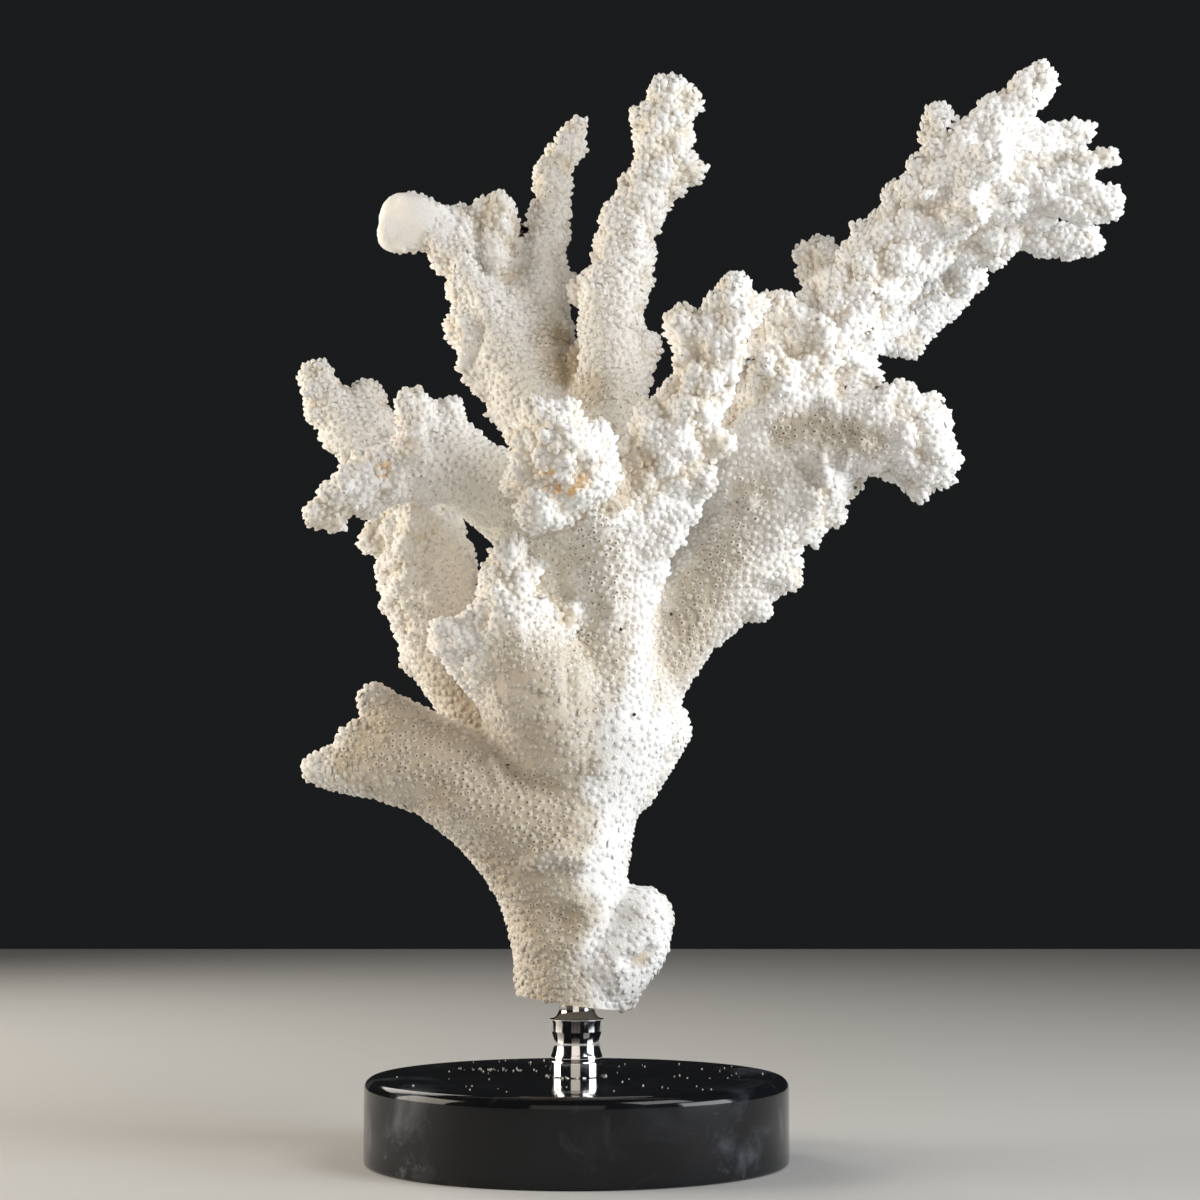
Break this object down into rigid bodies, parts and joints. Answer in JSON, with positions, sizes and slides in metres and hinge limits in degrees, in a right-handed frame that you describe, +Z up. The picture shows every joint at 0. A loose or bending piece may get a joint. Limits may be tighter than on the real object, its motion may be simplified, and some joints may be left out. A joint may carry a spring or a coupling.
{
  "type": "acropora coral skeleton",
  "caption": "Bleached white staghorn coral with splayed knobby branches, carried upright on a short turned chrome post in a round polished black stone base.",
  "frame": {"origin": "centre of the stone base's underside", "axes": "+Z up; the front of the display looks along -Y, with the long upper limb reaching out along +X"},
  "size_m": [0.2543, 0.1305, 0.3358],
  "materials": {
    "coral": "matte bleached coral limestone, whiter at the tips and warm beige in the pores and hollows",
    "post": "bright polished chrome plating",
    "base": "highly polished black marble with faint grey-white clouds"
  },
  "bodies": {
    "root": {"trunk": "coral", "paddle_branch": "coral", "left_stem": "coral", "rear_left_finger": "coral", "left_arm": "coral", "front_lobe": "coral", "front_cluster": "coral", "fan_branch": "coral", "slim_finger": "coral", "tall_finger": "coral", "centre_branch": "coral", "right_limb": "coral", "right_crown": "coral", "right_under_branch": "coral", "middle_branch": "coral", "right_arm": "coral", "right_flank": "coral", "rear_lower_branch": "coral", "rear_upper_branch": "coral", "chrome_post": "post", "stone_base": "base"}
  },
  "joints": []
}
